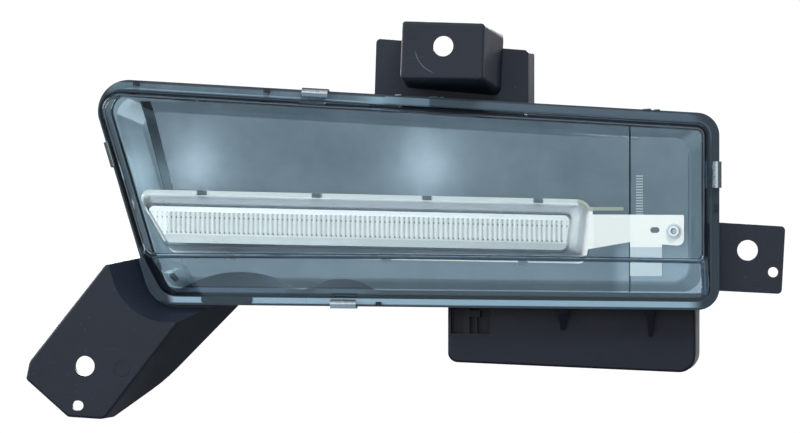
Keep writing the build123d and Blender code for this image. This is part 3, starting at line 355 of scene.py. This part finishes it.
def housing_plastic():
    """Black grained moulding, with painted light on the pale joint face under the lens flange and on the greyer
    inside of the lamp, painted shade that darkens the driver box, and scratched in an arc on the pad."""
    finish, tree, shader, _ = new_finish("housing_plastic")
    grain = place_group(tree, moulded_grain, grain_size=1100.0, dark=(0.015, 0.021, 0.036, 1),
                        light=(0.021, 0.028, 0.047, 1), sheen_low=0.42, sheen_high=0.56)
    rubbed = place_group(tree, handling_marks, amount=0.5)
    x, y, z = axes(tree)
    nx, ny, nz = facing(tree)
    front = step_up(tree, ny, -0.85, -0.95)
    joint = sums(tree, "MULTIPLY", front, band(tree, y, *joint_face_y, 0.0001))
    place = node(tree, "ShaderNodeTexCoord")
    smear = node(tree, "ShaderNodeTexNoise", {"Scale": 60.0, "Detail": 3.0, "Roughness": 0.6})
    join(tree, place.outputs["Object"], smear.inputs["Vector"])
    # Painted light: the joint face under the lens flange is made pale blue-grey, paler at the bottom, darker
    # along its edges and ends
    pale = ramp(tree, smear.outputs["Fac"],
                [(0.36, (0.125, 0.182, 0.226)), (0.62, (0.190, 0.262, 0.312))])
    across = sums(tree, "ADD", sums(tree, "MULTIPLY", sums(tree, "ADD", x, -flange_top_start[0]), 0.957),
                  sums(tree, "MULTIPLY", sums(tree, "ADD", z, -flange_top_start[1]), 0.29))
    ends = sums(tree, "MAXIMUM", step_up(tree, x, 0.110, 0.118), step_up(tree, across, 0.010, 0.006))
    pale = blend_colour(tree, step_up(tree, z, -0.110, -0.113), pale, (0.54, 0.72, 0.82))
    # Painted light: paler again under the pad, where the pad's shadow falls
    lit_under_pad = overlap(tree, band(tree, x, -0.036, 0.060, 0.006), step_up(tree, z, -0.045, -0.040))
    pale = blend_colour(tree, lit_under_pad, pale, (0.40, 0.56, 0.66))
    under_top = above_edge(tree, x, z, flange_top_start, flange_top_slope)
    over_low = above_edge(tree, x, z, flange_low_start, flange_low_slope)
    rim = sums(tree, "MAXIMUM", step_up(tree, under_top, -0.0015, -0.0009),
               step_up(tree, over_low, 0.0013, 0.0007))
    pale = blend_colour(tree, rim, pale, (0.045, 0.065, 0.085))
    pale = blend_colour(tree, ends, pale, (0.030, 0.046, 0.064))
    # Painted light: inside the lamp the rear wall, ledge, floor and the side wall seen through the slot are
    # made grey to pale blue
    inside = band(tree, z, *chamber_z, 0.0005)
    rear = overlap(tree, step_up(tree, ny, -0.3, -0.6), band(tree, y, 0.060, chamber_back_y, 0.001))
    floor = overlap(tree, step_up(tree, nz, 0.3, 0.6), band(tree, z, -0.114, -0.095, 0.001),
                    band(tree, y, 0.030, chamber_back_y, 0.001), step_up(tree, x, -0.132, -0.128), inside)
    side = overlap(tree, step_up(tree, nx, 0.2, 0.4), band(tree, y, 0.025, chamber_back_y, 0.001),
                   step_up(tree, x, -0.100, -0.104), inside)
    ledge = overlap(tree, front, band(tree, y, 0.019, 0.026, 0.0005),
                    step_up(tree, x, 0.1225, 0.1215), step_up(tree, z, -0.1172, -0.1168))
    inner_light = overlap(tree, sums(tree, "MAXIMUM", rear, ledge), inside)
    colour = blend_colour(tree, rubbed.outputs["Mask"], grain.outputs["Color"], (0.10, 0.115, 0.14))
    # Painted shade: the driver box is made darker
    box = overlap(tree, step_up(tree, x, 0.0, 0.002), step_up(tree, z, -0.1215, -0.1225))
    colour = blend_colour(tree, box, colour, (0.010, 0.014, 0.027))
    from_hole = distance(tree, x, z)
    scratch = overlap(tree, band(tree, from_hole, 0.01275, 0.01305, 0.0002),
                      step_up(tree, y, 0.0006, 0.0003), step_up(tree, z, -0.0012, -0.0045),
                      step_up(tree, x, -0.0035, -0.0065))
    colour = blend_colour(tree, sums(tree, "MULTIPLY", scratch, 0.45), colour, (0.32, 0.37, 0.43))
    colour = blend_colour(tree, inner_light, colour, (0.075, 0.130, 0.190))
    colour = blend_colour(tree, floor, colour, (0.120, 0.205, 0.280))
    colour = blend_colour(tree, side, colour, (0.400, 0.600, 0.720))
    colour = blend_colour(tree, joint, colour, pale)
    bump = node(tree, "ShaderNodeBump", {"Strength": 0.05, "Distance": bump_distance})
    join(tree, grain.outputs["Height"], bump.inputs["Height"])
    join(tree, colour, shader.inputs["Base Color"])
    join(tree, grain.outputs["Roughness"], shader.inputs["Roughness"])
    join(tree, bump.outputs["Normal"], shader.inputs["Normal"])
    shader.inputs["Specular IOR Level"].default_value = 0.4
    return finish


def seal_rubber():
    """Grey seal, with painted light that makes it paler along the top edge, and thin and pale where it is
    squeezed out along the left of the top edge.
    """
    finish, tree, shader, _ = new_finish("seal_rubber")
    grain = place_group(tree, moulded_grain, grain_size=900.0, dark=(0.042, 0.064, 0.082, 1),
                        light=(0.060, 0.086, 0.106, 1), sheen_low=0.5, sheen_high=0.7)
    x, _, z = axes(tree)
    # Painted light: the seal along the top edge is made paler, and paler still on its left stretch
    top = step_up(tree, z, -0.045, -0.040)
    thin = sums(tree, "MULTIPLY", step_up(tree, x, -0.0070, -0.0085), top)
    colour = blend_colour(tree, top, grain.outputs["Color"], (0.115, 0.165, 0.205))
    colour = blend_colour(tree, thin, colour, (0.36, 0.50, 0.60))
    join(tree, colour, shader.inputs["Base Color"])
    join(tree, grain.outputs["Roughness"], shader.inputs["Roughness"])
    return finish


def bezel_satin():
    """Blue-grey metallic paint on a finely pebbled moulding, with painted light on its side walls, left rim and
    lower right corner, and a painted reflection on its ticks.
    """
    finish, tree, shader, _ = new_finish("bezel_satin")
    grain = place_group(tree, moulded_grain, grain_size=1100.0, dark=(0.122, 0.180, 0.220, 1),
                        light=(0.182, 0.250, 0.296, 1), sheen_low=0.080, sheen_high=0.095)
    bump = node(tree, "ShaderNodeBump", {"Strength": 0.007, "Distance": bump_distance})
    x, y, z = axes(tree)
    # Painted reflection: the ticks are made pale for a ruler's reflection
    tick_reflection = overlap(tree, band(tree, x, 0.0869, 0.0903, 0.0001), band(tree, z, -0.0775, -0.0580, 0.0002),
                   step_up(tree, y, 0.0195, 0.0193))
    # Painted light: the left rim, the side walls and the lower right corner are made paler
    left_rim_light = overlap(tree, step_up(tree, x, -0.120, -0.130), step_up(tree, y, 0.0175, 0.0162))
    nx, _, _ = facing(tree)
    left_wall_light = overlap(tree, step_up(tree, x, -0.110, -0.115), step_up(tree, nx, 0.20, 0.40))
    right_wall_light = overlap(tree, step_up(tree, x, 0.090, 0.095), step_up(tree, nx, -0.20, -0.40))
    low_corner_light = overlap(tree, step_up(tree, x, 0.075, 0.082), step_up(tree, z, -0.080, -0.100))
    colour = blend_colour(tree, low_corner_light, grain.outputs["Color"], (0.27, 0.37, 0.44))
    colour = blend_colour(tree, sums(tree, "MAXIMUM", left_wall_light, right_wall_light), colour, (0.30, 0.42, 0.49))
    colour = blend_colour(tree, left_rim_light, colour, (0.25, 0.35, 0.41))
    colour = blend_colour(tree, tick_reflection, colour, (0.46, 0.54, 0.57))
    join(tree, colour, shader.inputs["Base Color"])
    join(tree, grain.outputs["Roughness"], shader.inputs["Roughness"])
    join(tree, grain.outputs["Height"], bump.inputs["Height"])
    join(tree, bump.outputs["Normal"], shader.inputs["Normal"])
    shader.inputs["Metallic"].default_value = 0.2
    return finish


def carrier_white():
    """Bright white sheet, with painted shade that makes it dimmer on its top lip, on the thin tongue and on the
    foot below the fold.
    """
    finish, tree, shader, _ = new_finish("carrier_white")
    grain = place_group(tree, moulded_grain, grain_size=700.0, dark=(0.88, 0.88, 0.83, 1),
                        light=(0.94, 0.93, 0.87, 1), sheen_low=0.35, sheen_high=0.5)
    x, _, z = axes(tree)
    # Painted shade: the top lip, the tongue and the foot are made dimmer
    lip = step_up(tree, above_edge(tree, x, z, bar_top_start, bar_top_slope), -0.0006, -0.0002)
    tongue = overlap(tree, step_up(tree, x, 0.0600, 0.0610), step_up(tree, z, -0.0754, -0.0750))
    foot = overlap(tree, step_up(tree, z, -0.0912, -0.0918), step_up(tree, x, 0.0840, 0.0844))
    colour = blend_colour(tree, lip, grain.outputs["Color"], (0.50, 0.55, 0.53))
    colour = blend_colour(tree, tongue, colour, (0.34, 0.38, 0.31))
    colour = blend_colour(tree, foot, colour, (0.50, 0.58, 0.61))
    join(tree, colour, shader.inputs["Base Color"])
    join(tree, grain.outputs["Roughness"], shader.inputs["Roughness"])
    return finish


def screw_zinc():
    """Plated screw: bright washer and head, with painted shade in the corners round them and in the recess."""
    finish, tree, shader, _ = new_finish("screw_zinc")
    x, _, z = axes(tree)
    far = distance(tree, sums(tree, "SUBTRACT", x, screw_centre[0]), sums(tree, "SUBTRACT", z, screw_centre[1]))
    # Painted shade: dark rings in the corners round the head and washer, and a dimmer recess
    tone = ramp(tree, sums(tree, "DIVIDE", far, screw_reach),
                [(0.0, (0.42, 0.48, 0.51)), (0.26, (0.42, 0.48, 0.51)), (0.32, (0.12, 0.15, 0.18)),
                 (0.38, (0.66, 0.70, 0.71)), (0.57, (0.66, 0.70, 0.71)), (0.64, (0.15, 0.19, 0.22)),
                 (0.70, (0.60, 0.65, 0.67)), (0.80, (0.60, 0.65, 0.67)), (0.86, (0.20, 0.24, 0.27))])
    join(tree, tone, shader.inputs["Base Color"])
    shader.inputs["Roughness"].default_value = 0.4
    shader.inputs["Metallic"].default_value = 0.3
    return finish


def optic_white():
    """Milky light guide with painted shade in a dark dash between the flutes at both ends of each."""
    finish, tree, shader, _ = new_finish("optic_white")
    grain = place_group(tree, moulded_grain, grain_size=500.0, dark=(0.80, 0.83, 0.80, 1),
                        light=(0.86, 0.88, 0.85, 1), sheen_low=0.2, sheen_high=0.35)
    x, _, z = axes(tree)
    along = sums(tree, "ADD", x, -flute_start[0])
    turn = sums(tree, "FRACT", sums(tree, "ADD", sums(tree, "DIVIDE", along, flute_pitch), 100.0), 0.0)
    gap = step_up(tree, sums(tree, "ABSOLUTE", sums(tree, "SUBTRACT", turn, 0.5), 0.0), 0.22, 0.08)
    slant = sums(tree, "MULTIPLY", along, flute_slope)
    height = sums(tree, "SUBTRACT", sums(tree, "ADD", z, -flute_start[1]), slant)
    rows = sums(tree, "MAXIMUM", band(tree, height, 0.0019, 0.0027, 0.0003),
                band(tree, height, -0.0050, -0.0042, 0.0003))
    faint_row = sums(tree, "MULTIPLY", band(tree, height, 0.0042, 0.0048, 0.0003), 0.5)
    rows = sums(tree, "MAXIMUM", rows, faint_row)
    # Painted shade: dark dashes and a faint line in the gaps between the flutes
    dash = overlap(tree, gap, rows, 0.95)
    gap_shade = overlap(tree, gap, band(tree, height, -0.0048, 0.0048, 0.0004), 0.16)
    plain = step_up(tree, height, -0.0052, -0.0060)
    colour = blend_colour(tree, plain, grain.outputs["Color"], (0.46, 0.51, 0.50))
    colour = blend_colour(tree, sums(tree, "MAXIMUM", dash, gap_shade), colour, (0.16, 0.21, 0.23))
    join(tree, colour, shader.inputs["Base Color"])
    join(tree, grain.outputs["Roughness"], shader.inputs["Roughness"])
    return finish


finishes = {
    "housing_plastic": housing_plastic(),
    "black_plastic": moulded("black_plastic", (0.014, 0.019, 0.032), (0.020, 0.026, 0.042), (0.4, 0.55),
                             marks=0.3),
    "seal_rubber": seal_rubber(),
    "bezel_satin": bezel_satin(),
    "clip_zinc": metal("clip_zinc", (0.42, 0.47, 0.49), (0.58, 0.62, 0.63), (0.2, 0.32)),
    "carrier_white": carrier_white(),
    "screw_zinc": screw_zinc(),
    "board_white": moulded("board_white", (0.74, 0.77, 0.76), (0.80, 0.82, 0.80), (0.35, 0.5)),
    "optic_white": optic_white(),
    "reflector_white": moulded("reflector_white", (0.72, 0.75, 0.76), (0.8, 0.82, 0.82), (0.25, 0.4)),
    "cast_cover": metal("cast_cover", (0.45, 0.46, 0.47), (0.6, 0.61, 0.62), (0.35, 0.5)),
    "circuit_green": moulded("circuit_green", (0.01, 0.07, 0.03), (0.015, 0.1, 0.045), (0.3, 0.45)),
    "chip_amber": moulded("chip_amber", (0.75, 0.55, 0.08), (0.8, 0.62, 0.12), (0.3, 0.45)),
    "nylon_white": moulded("nylon_white", (0.7, 0.68, 0.6), (0.78, 0.76, 0.68), (0.4, 0.5)),
    "lens_clear": lens_clear(),
    "bar_clear": bar_clear(),
}

worn_by = {
    "rear_housing": "housing_plastic", "connector_shell": "black_plastic", "vent_cap": "black_plastic",
    "outer_lens": "lens_clear", "bar_lens": "bar_clear",
    "lens_seal": "seal_rubber", "cover_seal": "seal_rubber",
    "lens_clip_top": "clip_zinc", "lens_clip_right": "clip_zinc",
    "lens_clip_bottom": "clip_zinc", "lens_clip_left": "clip_zinc",
    "main_bezel": "bezel_satin", "end_bezel": "bezel_satin",
    "carrier_plate": "carrier_white", "carrier_screw": "screw_zinc",
    "reflector": "reflector_white", "fluted_optic": "optic_white",
    "led_board": "board_white", "led_chips": "chip_amber",
    "led_plug": "nylon_white", "led_lead": "nylon_white",
    "driver_cover": "cast_cover", "cover_screws": "clip_zinc",
    "driver_board": "circuit_green", "driver_parts": "black_plastic",
    "connector_pins": "clip_zinc", "vent_membrane": "nylon_white",
}
for name, finish in worn_by.items():
    nodes[name].data.materials.clear()
    nodes[name].data.materials.append(finishes[finish])


# Small moulded marks on the mounts, and seal that was squeezed out at the top joint

mark_line = 0.35 * MM
mark_height = 0.30 * MM
mark_offset = 0.6
arm_front_y = 2.0 * MM
pad_front_y = 0.0
arm_mark = (-0.1488, -0.1475)
pad_mark = (-0.0142, 0.0060)
bead_radius = 1.0 * MM
bead_flatness = (1.0, 0.55, 0.4)
bead_pull_from = 0.3 * MM
bead_pull = (0.5 * MM, 0.0, 0.12 * MM)
bead_y = 16.6 * MM
bead_lift = 0.1 * MM
bead_places = [(-0.0225, 1.3), (-0.0062, 1.6), (-0.0025, 1.0), (0.0915, 1.8), (0.0962, 1.3)]


def add_mould_ring(name, centre, face_y, radius):
    """A thin raised ring on a front face, as a mould insert leaves it."""
    bpy.ops.object.select_all(action="DESELECT")
    bpy.ops.mesh.primitive_circle_add(vertices=56, radius=radius, fill_type="NGON",
                                      location=(centre[0], face_y, centre[1]),
                                      rotation=(math.radians(90), 0, 0))
    ring = bpy.context.active_object
    ring.name = name
    bpy.ops.object.mode_set(mode="EDIT")
    bpy.ops.mesh.inset(thickness=mark_line)
    bpy.ops.mesh.delete(type="FACE")
    bpy.ops.object.mode_set(mode="OBJECT")
    bpy.ops.object.transform_apply(location=True, rotation=True, scale=True)
    raised = ring.modifiers.new("raised", "SOLIDIFY")
    raised.thickness = mark_height
    raised.offset = mark_offset
    bpy.ops.object.modifier_apply(modifier=raised.name)
    ring.data.materials.append(finishes["black_plastic"])
    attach(ring, "root")


def make_seal_bead():
    """One flat lump of seal, drawn out to one side."""
    bpy.ops.object.select_all(action="DESELECT")
    bpy.ops.mesh.primitive_uv_sphere_add(segments=14, ring_count=8, radius=bead_radius)
    bead = bpy.context.active_object
    bpy.ops.object.mode_set(mode="EDIT")
    bpy.ops.transform.resize(value=bead_flatness)
    shape = bmesh.from_edit_mesh(bead.data)
    for point in shape.verts:
        point.select = point.co.x > bead_pull_from
    shape.select_flush_mode()
    bmesh.update_edit_mesh(bead.data)
    bpy.ops.transform.translate(value=bead_pull)
    bpy.ops.object.mode_set(mode="OBJECT")
    bpy.ops.object.shade_smooth()
    return bead


def place_seal_bead(first, name, along, reach):
    """A copy of the lump, seated on the slanting top joint."""
    bead = first.copy()
    bead.data = first.data.copy()
    bead.name = name
    bpy.context.scene.collection.objects.link(bead)
    joint_z = flange_top_start[1] - flange_top_slope * (along - flange_top_start[0])
    bead.location = (along, bead_y, joint_z + bead_lift)
    bead.scale = (reach, 1.0, 1.0)
    bpy.ops.object.select_all(action="DESELECT")
    bead.select_set(True)
    bpy.context.view_layer.objects.active = bead
    bpy.ops.object.transform_apply(location=True, rotation=True, scale=True)
    bead.data.materials.append(finishes["seal_rubber"])
    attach(bead, "root")


add_mould_ring("mould_ring_arm", arm_mark, arm_front_y, 3.6 * MM)
add_mould_ring("mould_ring_pad_outer", pad_mark, pad_front_y, 2.5 * MM)
add_mould_ring("mould_ring_pad_inner", pad_mark, pad_front_y, 1.6 * MM)
first_bead = make_seal_bead()
for number, (along, reach) in enumerate(bead_places):
    place_seal_bead(first_bead, "seal_bead_%d" % (number + 1), along, reach)
bpy.data.objects.remove(first_bead, do_unlink=True)


# Studio: pale sweep, soft lights, camera

target = Vector((-0.021131, 0.014, -0.077526))
view_turn = math.radians(6.0)
view_distance = 1.4
lens_length = 136.96
sensor_width = 36.0
sweep_width = 12.0
sweep_drop = 0.16
floor_light_drop = 0.15


def add_sweep():
    """Pale floor that runs out behind the lamp."""
    bpy.ops.mesh.primitive_plane_add(size=1.0, location=(0, 0, 0))
    sweep = bpy.context.active_object
    sweep.name = "sweep"
    sweep.scale = (sweep_width, sweep_width, 1.0)
    sweep.location = (target.x, 0.0, cad_low.z - sweep_drop)
    bpy.ops.object.transform_apply(location=True, rotation=True, scale=True)
    finish, tree, _, output = new_finish("pale_sweep")
    glow = node(tree, "ShaderNodeEmission", {"Color": (1, 1, 1, 1), "Strength": 1.05})
    join(tree, glow.outputs["Emission"], output.inputs["Surface"])
    sweep.data.materials.append(finish)
    sweep.visible_diffuse = False
    sweep.visible_glossy = False
    sweep.visible_transmission = False
    sweep.visible_shadow = False


def add_panel(name, place, size, power, aim=target, colour=(1, 1, 1)):
    """A soft rectangular light."""
    data = bpy.data.lights.new(name, "AREA")
    data.shape = "RECTANGLE"
    data.size, data.size_y = size
    data.energy = power
    data.color = colour
    panel = bpy.data.objects.new(name, data)
    panel.location = place
    panel.rotation_euler = (Vector(aim) - Vector(place)).to_track_quat("-Z", "Y").to_euler()
    panel.visible_camera = False
    bpy.context.scene.collection.objects.link(panel)
    return panel


def lit_only(name, lit):
    """The pieces that one light falls on."""
    group = bpy.data.collections.new(name)
    for piece in lit:
        group.objects.link(nodes[piece])
    return group


def lit_all_but(name, unlit):
    """The pieces that one light passes by."""
    group = lit_only(name, unlit)
    for member in group.collection_objects:
        member.light_linking.link_state = "EXCLUDE"
    return group


def add_glint(name, seen_at, size, power, lit, wall=(0.0, -1.0, 0.0)):
    """A small soft lamp placed so that its mirror image falls on one spot of the bezel."""
    spot = Vector(seen_at)
    sight = (spot - bpy.context.scene.camera.location).normalized()
    flat = Vector(wall).normalized()
    place = spot + view_distance * (sight - 2 * sight.dot(flat) * flat)
    data = bpy.data.lights.new(name, "AREA")
    data.shape = "ELLIPSE"
    data.size, data.size_y = size
    data.energy = power
    lamp = bpy.data.objects.new(name, data)
    lamp.location = place
    lamp.rotation_euler = (spot - place).to_track_quat("-Z", "Y").to_euler()
    lamp.visible_camera = False
    bpy.context.scene.collection.objects.link(lamp)
    lamp.light_linking.receiver_collection = lit


def add_inner_glow(name, place, power, lit):
    """A faint lamp behind the bezel, for the light that its slot and lower edge let in."""
    data = bpy.data.lights.new(name, "POINT")
    data.energy = power
    data.shadow_soft_size = 0.004
    glow = bpy.data.objects.new(name, data)
    glow.location = place
    glow.visible_camera = False
    bpy.context.scene.collection.objects.link(glow)
    glow.light_linking.receiver_collection = lit


def add_world():
    world = bpy.data.worlds.new("studio_air")
    world.use_nodes = True
    tree = world.node_tree
    tree.nodes.clear()
    output = tree.nodes.new("ShaderNodeOutputWorld")
    dim = node(tree, "ShaderNodeBackground", {"Color": (0.82, 0.91, 1.0, 1), "Strength": 0.16})
    white = node(tree, "ShaderNodeBackground", {"Color": (1, 1, 1, 1), "Strength": 1.05})
    rays = node(tree, "ShaderNodeLightPath")
    blend = node(tree, "ShaderNodeMixShader")
    join(tree, rays.outputs["Is Camera Ray"], blend.inputs["Fac"])
    join(tree, dim.outputs["Background"], blend.inputs[1])
    join(tree, white.outputs["Background"], blend.inputs[2])
    join(tree, blend.outputs["Shader"], output.inputs["Surface"])
    bpy.context.scene.world = world


def add_camera():
    data = bpy.data.cameras.new("camera")
    data.lens = lens_length
    data.sensor_width = sensor_width
    camera = bpy.data.objects.new("camera", data)
    out = Vector((math.sin(view_turn), -math.cos(view_turn), 0.0))
    camera.location = target + view_distance * out
    camera.rotation_euler = (math.radians(90.0), 0.0, view_turn)
    bpy.context.scene.collection.objects.link(camera)
    bpy.context.scene.camera = camera


add_sweep()
add_world()
add_camera()
front_panel = add_panel("front_panel", (-0.3, -2.4, 0.35), (2.2, 1.4), 12.0, colour=(0.94, 0.98, 1.0))
key_panel = add_panel("key_panel", (0.5, -1.2, 1.3), (0.9, 0.6), 18.0)
fill_panel = add_panel("fill_panel", (-1.3, -1.0, 0.5), (0.7, 0.7), 8.0)
rear_panels = [
    add_panel("back_panel", (-0.1, 1.7, 0.6), (1.4, 0.8), 42.0),
    add_panel("back_left_panel", (-1.3, 1.2, 0.4), (0.8, 0.8), 26.0),
    add_panel("right_panel", (1.6, 0.9, 0.4), (0.8, 0.8), 7.0),
    add_panel("left_panel", (-1.7, 0.15, 0.5), (0.8, 0.8), 14.0),
]

bezels = lit_only("bezels_only", ("main_bezel", "end_bezel"))
all_but_bezels = lit_all_but("all_but_bezels", ("main_bezel", "end_bezel"))
all_but_lamp_front = lit_all_but(
    "all_but_lamp_front", ("main_bezel", "end_bezel", "outer_lens", "bar_lens"))
for panel in [key_panel, *rear_panels]:
    panel.light_linking.receiver_collection = all_but_lamp_front
fill_panel.light_linking.receiver_collection = all_but_bezels
front_panel.light_linking.receiver_collection = lit_all_but("all_but_lens", ("outer_lens", "bar_lens"))
bar_panel = add_panel("bar_panel", (-0.5, -1.6, -0.1), (0.6, 0.6), 15.0)
bar_panel.light_linking.receiver_collection = lit_only(
    "bar_only", ("reflector", "fluted_optic", "carrier_plate", "carrier_screw"))
bezel_panel = add_panel("bezel_panel", (0.7, -1.5, -0.9), (1.6, 1.6), 26.0)
bezel_panel.light_linking.receiver_collection = bezels
bezel_panel.light_linking.blocker_collection = lit_only("bezel_shade", ("rear_housing",))
add_glint("glint_middle", (-0.0095, 0.0204, -0.0535), (0.022, 0.050), 0.045, bezels)
add_glint("glint_left", (-0.1175, 0.0204, -0.0535), (0.022, 0.040), 0.040, bezels)
add_glint("glint_wall", (-0.1444, 0.0165, -0.0568), (0.022, 0.040), 0.040, bezels,
          wall=(0.40, -0.91, 0.12))

inside_only = lit_only("inside_only", ("rear_housing",))
add_inner_glow("slot_glow", (-0.125, 0.045, -0.055), 0.0022, inside_only)
add_inner_glow("floor_glow", (-0.075, 0.050, -0.085), 0.009, inside_only)

clear_parts = lit_only("clear_parts_only", (
    "outer_lens", "lens_clip_top", "lens_clip_right", "lens_clip_bottom", "lens_clip_left"))
floor_panel = add_panel("floor_panel", (target.x, 0.0, cad_low.z - floor_light_drop), (1.6, 1.6), 3.6,
                        aim=(target.x, 0.0, 1.0), colour=(0.58, 0.84, 1.0))
floor_panel.light_linking.receiver_collection = clear_parts

bpy.context.scene.view_settings.view_transform = "Standard"
